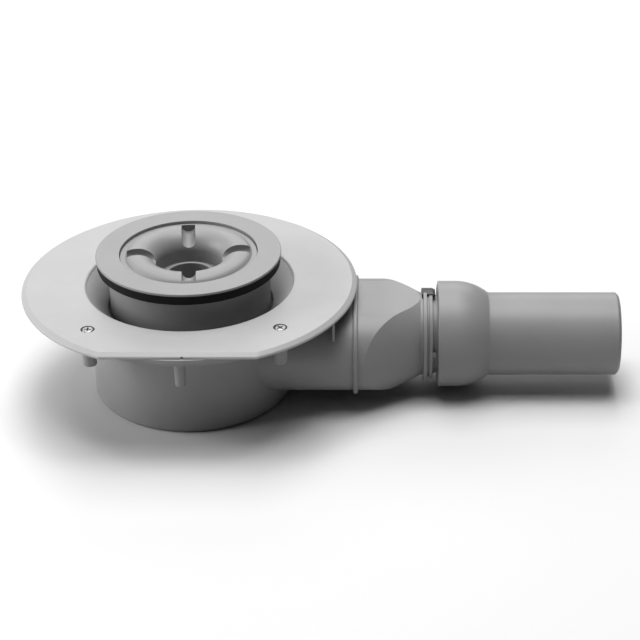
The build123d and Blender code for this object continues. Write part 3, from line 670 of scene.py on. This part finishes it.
class TRAP_OT_body(bpy.types.Operator):
    """Builds the drum with its rim, oval duct, screw bosses and peg"""

    bl_idname = "trap.body"
    bl_label = "Drum and duct"

    def execute(self, context):
        size = context.scene.trap_body
        flange = context.scene.trap_flange
        rim_r = -BODY_LOW.x
        plate_z = RIM_Z - size.rim_thickness
        skirt_z = plate_z - size.skirt_drop
        skirt_r = rim_r - size.skirt_setback
        skirt_in = skirt_r - size.skirt_wall
        drum = turned(
            [
                (0, 0), (size.drum_radius, 0), (size.drum_radius, plate_z), (skirt_in, plate_z),
                (skirt_in, skirt_z), (skirt_r, skirt_z), (skirt_r, plate_z), (rim_r, plate_z),
                (rim_r, RIM_Z), (0, RIM_Z),
            ],
            [
                ((size.drum_radius, 0), size.base_round), ((size.drum_radius, plate_z), size.root_round),
                ((rim_r, plate_z), size.edge_round), ((rim_r, RIM_Z), size.edge_round),
                ((skirt_r, skirt_z), size.edge_round),
            ],
        )
        height = 2 * OUTLET_R
        past_x = WELD_X + PAST
        duct = oval_bar(0, past_x, size.duct_width, height)
        proud = 2 * size.weld_proud
        bead_x = WELD_X - size.weld_half
        bead = oval_bar(
            bead_x, past_x + PAST, size.duct_width + proud, height + proud, bead_x, size.weld_round
        )
        places = screw_places(flange)
        boss_z = plate_z - size.boss_length
        posts = [
            post(place, boss_z, RIM_Z - PAST, size.boss_radius, edge_round=size.boss_round)
            for place in places
        ]
        peg_place = (0, -flange.screw_pitch)
        peg_z = plate_z - size.peg_length
        peg = post(peg_place, peg_z, plate_z + PAST, size.peg_radius, size.peg_tip_radius, size.edge_round)
        gusset_x = WELD_X - size.gusset_setback
        gusset = block(
            (gusset_x - size.gusset_thickness, size.gusset_start, OUTLET_Z),
            (gusset_x, size.gusset_start + size.gusset_length, RIM_Z - PAST),
        )
        outside = joined(drum, duct, bead, together(*posts, peg), gusset)
        thin = 2 * size.duct_wall
        weir = post((0, 0), 0, OUTLET_Z + size.weir_rise, size.drum_radius)
        hollow = cut(oval_bar(0, past_x, size.duct_width - thin, height - thin), weir)
        inner_r = size.drum_radius - size.wall
        _, _, slope, dish_r = dish_line(flange)
        seat_r = dish_r + flange.dish_clearance
        over_z = RIM_Z + PAST
        chamber = turned(
            [
                (0, size.wall), (inner_r, size.wall), (inner_r, RIM_Z - slope * (seat_r - inner_r)),
                (seat_r + PAST / slope, over_z), (0, over_z),
            ],
            [((inner_r, size.wall), size.base_round)],
        )
        groove = ring(size.seal_inner, size.seal_inner + size.seal_width, RIM_Z - size.seal_depth, over_z)
        pilots = [post(place, SCREW_FOOT, over_z, flange.screw_radius + SLACK) for place in places]
        shape = cut(outside, weld_trim(1), chamber, hollow, together(groove, *pilots))
        make_piece(shape, "drum_moulding", "trap_body", finish("body"))
        return {"FINISHED"}


class TRAP_OT_flange(bpy.types.Operator):
    """Builds the clamping flange with its flat side, dished throat and collar"""

    bl_idname = "trap.flange"
    bl_label = "Clamping flange"

    def execute(self, context):
        size = context.scene.trap_flange
        under_z = FLANGE_Z - size.thickness
        foot_r, foot_z, slope, dish_r = dish_line(size)
        collar_r = size.collar_bore + size.collar_wall
        outer_r = FLANGE_HIGH.x
        edge_z = FLANGE_Z - size.edge_drop
        relief_z = foot_z - size.collar_relief
        shape = turned(
            [
                (size.collar_bore, FLANGE_LOW.z), (collar_r, FLANGE_LOW.z),
                (collar_r, under_z - slope * (dish_r - collar_r)), (dish_r, under_z), (outer_r, under_z),
                (outer_r, edge_z), (outer_r - size.edge_run, FLANGE_Z), (size.dish_radius, FLANGE_Z),
                (size.dish_radius - size.dish_step_run, FLANGE_Z - size.dish_step), (foot_r, foot_z),
                (foot_r, relief_z), (size.collar_bore, relief_z - size.collar_lead),
            ],
            [
                ((outer_r, edge_z), size.edge_soft), ((outer_r, under_z), size.under_round),
                ((outer_r - size.edge_run, FLANGE_Z), size.under_round),
                ((size.dish_radius, FLANGE_Z), size.dish_round),
            ],
        )
        flat_y = FLANGE_LOW.y
        beyond = -outer_r - PAST
        # The slope of the round edge goes on past the flange's top
        over_z = edge_z + 2 * size.edge_drop
        trim = bar(
            [
                (beyond, under_z - PAST), (flat_y, under_z - PAST), (flat_y, edge_z),
                (flat_y + 2 * size.edge_run, over_z), (beyond, over_z),
            ],
            -outer_r, outer_r,
        )
        corner = edges_where(trim, lambda place: math.dist(place.yz, (flat_y, edge_z)) < NEAR)
        round_edges(trim, corner, size.edge_soft)
        gate_z = under_z + size.thickness / 2
        gate = post((size.gate_place, flat_y), under_z - PAST, gate_z, size.gate_radius)
        places = screw_places(size)
        seat_z = FLANGE_Z - size.recess_depth
        recesses = [post(place, seat_z, FLANGE_Z + PAST, size.recess_radius) for place in places]
        holes = [post(place, under_z - PAST, FLANGE_Z, size.screw_radius + SLACK) for place in places]
        shape = cut(shape, trim, gate, together(*recesses), together(*holes))
        make_piece(shape, "flange_moulding", "fixing_flange", finish("flange"))
        return {"FINISHED"}


class TRAP_OT_screws(bpy.types.Operator):
    """Builds the cross-head screws that hold the flange"""

    bl_idname = "trap.screws"
    bl_label = "Flange screws"

    def execute(self, context):
        size = context.scene.trap_flange
        seat_z = FLANGE_Z - size.recess_depth
        head_z = seat_z + size.head_height
        screws = []
        for index, (x, y) in enumerate(screw_places(size)):
            screw = turned(
                [
                    (0, SCREW_FOOT), (size.screw_radius, SCREW_FOOT), (size.screw_radius, seat_z),
                    (size.head_radius, seat_z), (size.head_radius, head_z), (0, head_z),
                ],
                [
                    ((size.head_radius, head_z), size.head_round),
                    ((size.screw_radius, SCREW_FOOT), size.head_round),
                ],
            )
            reach = Vector((size.cross_length / 2, size.cross_width / 2, 0))
            sunk = Vector((0, 0, size.cross_depth))
            top = Vector((0, 0, head_z))
            screw = cut(
                screw,
                block(top - reach - sunk, top + reach + sunk),
                block(top - reach.yxz - sunk, top + reach.yxz + sunk),
            )
            place = Matrix.Translation((x, y, 0)) @ Matrix.Rotation(size.cross_turn * index, 4, "Z")
            bmesh.ops.transform(screw, matrix=place, verts=screw.verts)
            screws.append(screw)
        make_piece(together(*screws), "screw_set", "flange_screws", finish("steel"))
        return {"FINISHED"}


class TRAP_OT_neck(bpy.types.Operator):
    """Builds the top ring with its neck"""

    bl_idname = "trap.neck"
    bl_label = "Drain neck"

    def execute(self, context):
        size = context.scene.trap_neck
        inner_r = size.neck_radius - size.neck_wall
        ledge_r = size.ring_bore - size.ledge_width
        ledge_z = TOP_Z - size.ledge_depth
        ledge_low = ledge_z - size.ledge_height
        ring_r = NECK_HIGH.x
        ring_z = GASKET_HIGH.z
        shape = turned(
            [
                (ledge_r, ledge_low), (inner_r, ledge_low - (inner_r - ledge_r)), (inner_r, NECK_LOW.z),
                (size.neck_radius, NECK_LOW.z), (size.neck_radius, ring_z), (ring_r, ring_z),
                (ring_r, TOP_Z), (size.ring_bore, TOP_Z), (size.ring_bore, ledge_z), (ledge_r, ledge_z),
            ],
            [
                ((ring_r, TOP_Z), size.ring_round), ((ring_r, ring_z), size.ring_round / 2),
                ((size.ring_bore, TOP_Z), size.ring_round / 2),
            ],
        )
        make_piece(shape, "neck_moulding", "drain_neck", finish("neck"))
        return {"FINISHED"}


class TRAP_OT_gasket(bpy.types.Operator):
    """Builds the rubber gasket under the top ring and blackens the hidden seals"""

    bl_idname = "trap.gasket"
    bl_label = "Rubber rings"

    def execute(self, context):
        size = context.scene.trap_neck
        outer_r = GASKET_HIGH.x
        low_z = GASKET_LOW.z
        high_z = GASKET_HIGH.z
        shape = ring(
            size.neck_radius + SLACK, outer_r, low_z, high_z,
            [((outer_r, low_z), size.gasket_round), ((outer_r, high_z), size.gasket_top_round)],
        )
        make_piece(shape, "gasket_ring", "tray_gasket", finish("rubber"))
        for node in ("body_seal", "insert_seal", "dip_tube_seal", "ball_seal"):
            seal = frame["nodes"][node].data
            seal.materials.clear()
            seal.materials.append(finish("rubber"))
        return {"FINISHED"}


class TRAP_OT_insert(bpy.types.Operator):
    """Builds the bell-mouthed insert with its four slots"""

    bl_idname = "trap.insert"
    bl_label = "Trap insert"

    def execute(self, context):
        size = context.scene.trap_neck
        rim_r = size.ring_bore - size.fit
        rim_z = TOP_Z - size.insert_drop
        bell_z = INSERT_HIGH.z - size.bell_radius
        lobe_z = INSERT_HIGH.z - size.lobe_radius
        throat_r = size.crest_radius - size.bell_radius
        throat_z = bell_z - size.throat_drop
        bed_r = throat_r - size.throat_step
        bed_low = throat_z - size.insert_wall
        ledge_z = TOP_Z - size.ledge_depth
        skirt_r = size.ring_bore - size.ledge_width - size.fit
        skirt_in = skirt_r - size.skirt_wall
        skirt_z = ledge_z - size.skirt_length
        sleeve_in = TUBE_HIGH.x - size.tube_ledge + size.tube_fit
        sleeve_out = bed_r + size.insert_wall
        throat_out = throat_r + size.insert_wall - SLACK / 2
        seat_z = TUBE_HIGH.z - size.tube_rise - size.tube_head

        def lobe_angle(inset, reach):
            """Angle on a lobe's arc where it comes to a radius."""
            return math.degrees(math.acos((reach - size.crest_radius) / (size.lobe_radius - inset)))

        def bell_line(inset, reach):
            """Bell from its throat over the crest and along a lobe to a radius."""
            rise = arc((size.crest_radius, bell_z), size.bell_radius - inset, 180, 90, BELL_STEPS)
            stop = lobe_angle(inset, reach)
            lobe = arc((size.crest_radius, lobe_z), size.lobe_radius - inset, 90, stop, LOBE_STEPS)
            return rise + lobe[1:]

        shoulder_r = rim_r - size.shoulder_setback
        lean = lobe_angle(0, shoulder_r)
        inward = size.lobe_radius - size.shoulder_round
        centre_z = lobe_z + inward * math.sin(math.radians(lean))
        shoulder = arc(
            (size.crest_radius + inward * math.cos(math.radians(lean)), centre_z), size.shoulder_round,
            lean, math.degrees(math.asin((rim_z - centre_z) / size.shoulder_round)), SHOULDER_STEPS,
        )
        shape = turned(
            bell_line(0, shoulder_r) + shoulder[1:] + [
                (rim_r, rim_z), (rim_r, ledge_z), (skirt_r, ledge_z), (skirt_r, skirt_z),
                (throat_out, skirt_z), (throat_out, bed_low), (sleeve_out, bed_low),
                (sleeve_out, INSERT_LOW.z), (sleeve_in, INSERT_LOW.z), (sleeve_in, seat_z),
                (bed_r, seat_z), (bed_r, throat_z), (throat_r, throat_z),
            ],
            [((rim_r, rim_z), size.rim_round)],
        )
        under = bell_line(size.insert_wall, skirt_in)
        hollow = turned(under + [(skirt_in, skirt_z - PAST), (under[0][0], skirt_z - PAST)])
        slot_r = rim_r - size.slot_setback
        channels = self.bars(size, slot_r, rim_z - size.slot_depth, size.slot_width / 2 + size.slot_wall)
        slots = self.bars(size, slot_r, rim_z - size.slot_depth, size.slot_width / 2)
        shape = cut(shape, cut(hollow, *channels), *slots)
        groove_z = ledge_z - size.ring_drop
        half = size.ring_section + SLACK / 2
        groove_r = size.ring_bore - size.ledge_width - 2 * half
        shape = cut(shape, ring(groove_r, size.ring_bore, groove_z - half, groove_z + half))
        turn = Matrix.Rotation(size.insert_turn, 3, "Z")
        bmesh.ops.rotate(shape, verts=shape.verts, cent=(0, 0, 0), matrix=turn)
        make_piece(shape, "insert_moulding", "trap_insert", finish("neck"))
        return {"FINISHED"}

    @staticmethod
    def bars(size, reach, floor_z, radius):
        """Four bars with round undersides, open at the top, that fall from the rim towards the throat."""
        section = arc((0, 0), radius, 180, 360, SLOT_STEPS) + [(radius, 2 * radius), (-radius, 2 * radius)]
        made = []
        for quarter in range(4):
            piece = bar(section, -reach, 0)
            place = (
                Matrix.Rotation(math.pi / 2 * quarter, 4, "Z")
                @ Matrix.Translation((reach, 0, floor_z + size.slot_width / 2))
                @ Matrix.Rotation(-size.slot_fall, 4, "Y")
            )
            bmesh.ops.transform(piece, matrix=place, verts=piece.verts)
            made.append(piece)
        return made


class TRAP_OT_dip_tube(bpy.types.Operator):
    """Builds the tube that hangs in the insert and reaches into the water"""

    bl_idname = "trap.dip_tube"
    bl_label = "Dip tube"

    def execute(self, context):
        size = context.scene.trap_neck
        head_r = TUBE_HIGH.x
        tube_r = head_r - size.tube_ledge
        bore_r = tube_r - size.tube_wall
        top_z = TUBE_HIGH.z
        lip_z = top_z - size.tube_lip
        head_z = top_z - size.tube_rise
        seat_z = head_z - size.tube_head
        half = size.tube_ring + SLACK / 2
        groove_z = seat_z + size.tube_ring_lift
        groove_r = head_r + size.tube_fit - 2 * half
        shape = turned(
            [
                (bore_r, TUBE_LOW.z), (tube_r, TUBE_LOW.z), (tube_r, seat_z), (head_r, seat_z),
                (head_r, groove_z - half), (groove_r, groove_z - half), (groove_r, groove_z + half),
                (head_r, groove_z + half), (head_r, head_z), (tube_r, head_z), (tube_r, lip_z),
                (tube_r - size.tube_lip, top_z), (bore_r + size.tube_lip, top_z), (bore_r, lip_z),
            ],
            [
                ((tube_r - size.tube_lip, top_z), size.tube_round),
                ((bore_r + size.tube_lip, top_z), size.tube_round),
            ],
        )
        make_piece(shape, "dip_tube_moulding", "dip_tube", finish("neck"))
        return {"FINISHED"}


class TRAP_OT_reducer(bpy.types.Operator):
    """Builds the oval-to-round reducer with its weld bead, neck and ball"""

    bl_idname = "trap.reducer"
    bl_label = "Outlet reducer"

    def execute(self, context):
        size = context.scene.trap_outlet
        body = context.scene.trap_body
        height = 2 * OUTLET_R
        neck_x = WELD_X + size.cone_length
        ball_x = retainer_end(size)
        slope = (body.duct_width / 2 - OUTLET_R) / (size.cone_length - size.cone_start)
        early_x = WELD_X - PAST
        wide = OUTLET_R + slope * (neck_x - early_x)
        ball_r = math.hypot(BALL_X - ball_x, OUTLET_R)
        bore_r = OUTLET_R - size.neck_wall
        end_r = bore_r + size.ball_end_wall
        gap_x = ball_x + size.gap_width
        gap_r = bore_r + size.gap_wall
        from_angle = math.degrees(math.acos((gap_x - BALL_X) / ball_r))
        to_angle = math.degrees(math.asin(end_r / ball_r))
        half = size.seal_groove_width / 2
        groove_r = ball_r - size.seal_groove_depth
        groove_angle = math.degrees(math.acos(half / ball_r))
        solid = turned(
            [
                (early_x, 0), (early_x, wide), (neck_x, OUTLET_R), (ball_x, OUTLET_R), (ball_x, gap_r),
                (gap_x, gap_r),
            ]
            + arc((BALL_X, 0), ball_r, from_angle, 180 - groove_angle, BALL_STEPS)
            + [(BALL_X - half, groove_r), (BALL_X + half, groove_r)]
            + arc((BALL_X, 0), ball_r, groove_angle, to_angle, BALL_STEPS)
            + [(BALL_END, 0)],
            about=ALONG,
        )
        reach = wide + PAST
        start_x = early_x - PAST
        around = cut(
            block((start_x, -reach, OUTLET_Z - reach), (neck_x + PAST, reach, OUTLET_Z + reach)),
            oval_bar(start_x - PAST, neck_x + 2 * PAST, body.duct_width, height + HAIR),
        )
        bead_x = WELD_X + body.weld_half
        proud = 2 * body.weld_proud
        bead = oval_bar(start_x, bead_x, body.duct_width + proud, height + proud, bead_x, body.weld_round)
        thin = 2 * body.duct_wall
        late_x = BALL_END + PAST
        hollow = carve(
            oval_bar(start_x - PAST, late_x + PAST, body.duct_width - thin, height - thin),
            turned(
                [
                    (start_x, 0), (start_x, wide + slope * PAST - size.neck_wall), (neck_x, bore_r),
                    (late_x, bore_r), (late_x, 0),
                ],
                about=ALONG,
            ),
            "INTERSECT",
        )
        shape = cut(joined(cut(solid, around), bead), weld_trim(-1), hollow)
        make_piece(shape, "reducer_moulding", "outlet_reducer", finish("body"))
        return {"FINISHED"}


class TRAP_OT_retainer(bpy.types.Operator):
    """Builds the two halves of the split retainer on the reducer's neck"""

    bl_idname = "trap.retainer"
    bl_label = "Split retainer"

    def execute(self, context):
        size = context.scene.trap_outlet
        inner = OUTLET_R + size.retainer_fit
        core = OUTLET_R + size.retainer_core
        start = FRONT_LOW.x
        groove_x = start + size.rib_width
        second_x = groove_x + size.rib_gap
        end = retainer_end(size)
        tall = -FRONT_LOW.y
        short = OUTLET_R + size.second_rib
        ribs = [(end, short), (second_x, short), (groove_x, tall), (start, tall)]
        ribbed = turned(
            [(start, inner), (end, inner), *ribs[:2], (second_x, core), (groove_x, core), *ribs[2:]],
            [(corner, size.rib_round) for corner in ribs],
            about=ALONG,
        )
        front = self.half(ribbed, FRONT_HIGH.y, 1)
        finger = block(
            (second_x + PAST, -(OUTLET_R + size.finger_top), OUTLET_Z - size.finger_width / 2),
            (FRONT_HIGH.x, -(OUTLET_R + size.finger_root), OUTLET_Z + size.finger_width / 2),
            size.finger_round,
        )
        make_piece(joined(front, finger), "retainer_ribs", "retainer_front", finish("body"))
        ball_r = math.hypot(BALL_X - end, OUTLET_R)
        inner = OUTLET_R + size.clip_fit
        proud = OUTLET_R + size.clip_proud
        tip_in = math.sqrt(ball_r ** 2 - (BALL_X - REAR_HIGH.x) ** 2) + size.clip_fit
        tip_out = OUTLET_R + size.clip_tip
        plain = turned(
            [
                (REAR_LOW.x, inner), (end, inner), (REAR_HIGH.x, tip_in), (REAR_HIGH.x, tip_out),
                (end, proud), (REAR_LOW.x, proud),
            ],
            [
                ((REAR_LOW.x, proud), size.clip_round), ((end, proud), size.clip_round),
                ((REAR_HIGH.x, tip_out), size.clip_tip_round),
            ],
            about=ALONG,
        )
        make_piece(self.half(plain, REAR_LOW.y, -1), "retainer_clip", "retainer_rear", finish("clip"))
        return {"FINISHED"}

    @staticmethod
    def half(shape, split_y, side):
        """A ring cut along the split, with what lies past it taken away."""
        sliced = bmesh.ops.bisect_plane(
            shape, geom=shape.verts[:] + shape.edges[:] + shape.faces[:], plane_co=(0, split_y, 0),
            plane_no=(0, side, 0), clear_outer=True,
        )
        border = [e for e in sliced["geom_cut"] if isinstance(e, bmesh.types.BMEdge)]
        bmesh.ops.edgeloop_fill(shape, edges=border)
        return shape


class TRAP_OT_pipe(bpy.types.Operator):
    """Builds the ball socket with its straight pipe"""

    bl_idname = "trap.pipe"
    bl_label = "Outlet pipe"

    def execute(self, context):
        size = context.scene.trap_outlet
        ball_r = math.hypot(BALL_X - retainer_end(size), OUTLET_R)
        socket_in = ball_r + size.socket_gap
        socket_r = PIPE_HIGH.y
        bore_r = OUTLET_R - size.pipe_wall
        mouth_x = PIPE_LOW.x
        end_x = PIPE_HIGH.x
        lip_x = mouth_x + size.lip_width
        lip_r = math.sqrt(ball_r ** 2 - (BALL_X - lip_x) ** 2) + size.lip_gap
        outer_lean = math.degrees(math.asin(OUTLET_R / socket_r))
        outside = arc((BALL_X, 0), socket_r, 90, outer_lean, SOCKET_STEPS)
        inner_lean = math.degrees(math.asin(bore_r / socket_in))
        inside = arc((BALL_X, 0), socket_in, inner_lean, 90, SOCKET_STEPS)
        mouth = (mouth_x, lip_r + size.lip_flare)
        shoulder = (mouth_x + size.lip_chamfer, socket_r)
        chamfer = (end_x - size.pipe_chamfer, OUTLET_R)
        tip = (end_x, OUTLET_R - size.pipe_chamfer)
        shape = turned(
            outside + [chamfer, tip, (end_x, bore_r)] + inside
            + [(lip_x + size.lip_width, socket_in), (lip_x, lip_r), mouth, shoulder],
            [
                (mouth, size.mouth_round), (shoulder, size.outer_round), (chamfer, size.outer_round),
                (outside[-1], size.root_round),
            ],
            about=ALONG,
        )
        make_piece(shape, "pipe_moulding", "outlet_pipe", finish("body"))
        return {"FINISHED"}


class TRAP_OT_stage(bpy.types.Operator):
    """Builds the studio floor, its soft lights and the camera"""

    bl_idname = "trap.stage"
    bl_label = "Studio"

    def execute(self, context):
        studio = context.scene.trap_studio
        self.floor(studio)
        self.lights()
        self.wall(context.scene)
        self.camera(context.scene, studio)
        return {"FINISHED"}

    @staticmethod
    def floor(studio):
        """Round floor under the trap."""
        ground = bmesh.new()
        bmesh.ops.create_circle(ground, cap_ends=True, segments=FLOOR_SIDES, radius=studio.floor_radius)
        mesh = to_mesh(ground, "studio_floor")
        mesh.materials.append(finish("floor"))
        floor = show("studio_floor", mesh)

    @staticmethod
    def lights():
        """Soft lamps that all face the trap."""
        for name, place, sides, power in LAMPS:
            lamp = bpy.data.lights.new(name, "AREA")
            lamp.shape = "RECTANGLE"
            lamp.size, lamp.size_y = sides
            lamp.energy = power
            holder = show(name, lamp)
            holder.location = place
            holder.rotation_euler = (LAMP_AIM - Vector(place)).to_track_quat("-Z", "Y").to_euler()
            holder.visible_camera = False

    @staticmethod
    def wall(scene):
        """Wall that is pale behind the floor and adds hardly any light."""
        world = bpy.data.worlds.new("studio_wall")
        world.use_nodes = True
        scene.world = world
        tree = world.node_tree
        rays = add_node(tree, "ShaderNodeLightPath")
        glow = add_node(tree, "ShaderNodeMapRange", {
            "Value": rays.outputs["Is Camera Ray"], "To Min": 0.04, "To Max": 0.9,
        })
        backdrop = tree.nodes["Background"]
        backdrop.inputs["Color"].default_value = WHITE
        tree.links.new(glow.outputs["Result"], backdrop.inputs["Strength"])

    @staticmethod
    def camera(scene, studio):
        """Camera at the photograph's viewing angle."""
        view = bpy.data.cameras.new("photo_view")
        view.lens = studio.lens
        view.shift_x = studio.shift
        camera = show("photo_view", view)
        camera.location = studio.place
        camera.rotation_euler = (math.pi / 2 - studio.elevation, 0, 0)
        scene.camera = camera
        scene.view_settings.view_transform = "Standard"


OPERATORS = (
    TRAP_OT_body, TRAP_OT_flange, TRAP_OT_screws, TRAP_OT_neck, TRAP_OT_gasket, TRAP_OT_insert,
    TRAP_OT_dip_tube, TRAP_OT_reducer, TRAP_OT_retainer, TRAP_OT_pipe, TRAP_OT_stage,
)
GROUPS = {
    "trap_body": TrapBodySizes,
    "trap_flange": FlangeSizes,
    "trap_neck": NeckSizes,
    "trap_outlet": OutletSizes,
    "trap_colours": FinishColours,
    "trap_studio": StudioSettings,
}


class TRAP_PT_pieces(bpy.types.Panel):
    """Lists the pieces that can be built"""

    bl_idname = "TRAP_PT_pieces"
    bl_label = "Shower trap"
    bl_space_type = "VIEW_3D"
    bl_region_type = "UI"
    bl_category = "Shower trap"

    def draw(self, context):
        for operator in OPERATORS:
            self.layout.operator(operator.bl_idname)


def register():
    """Adds the sizes, the operators and the panel."""
    for name, group in GROUPS.items():
        bpy.utils.register_class(group)
        setattr(bpy.types.Scene, name, PointerProperty(type=group))
    for operator in OPERATORS:
        bpy.utils.register_class(operator)
    bpy.utils.register_class(TRAP_PT_pieces)


def unregister():
    """Takes away what register added."""
    bpy.utils.unregister_class(TRAP_PT_pieces)
    for operator in reversed(OPERATORS):
        bpy.utils.unregister_class(operator)
    for name, group in reversed(GROUPS.items()):
        delattr(bpy.types.Scene, name)
        bpy.utils.unregister_class(group)


def main():
    """Builds every piece and the studio."""
    register()
    bpy.ops.trap.body()
    bpy.ops.trap.flange()
    bpy.ops.trap.screws()
    bpy.ops.trap.neck()
    bpy.ops.trap.gasket()
    bpy.ops.trap.insert()
    bpy.ops.trap.dip_tube()
    bpy.ops.trap.reducer()
    bpy.ops.trap.retainer()
    bpy.ops.trap.pipe()
    bpy.ops.trap.stage()


if __name__ == "__main__":
    main()
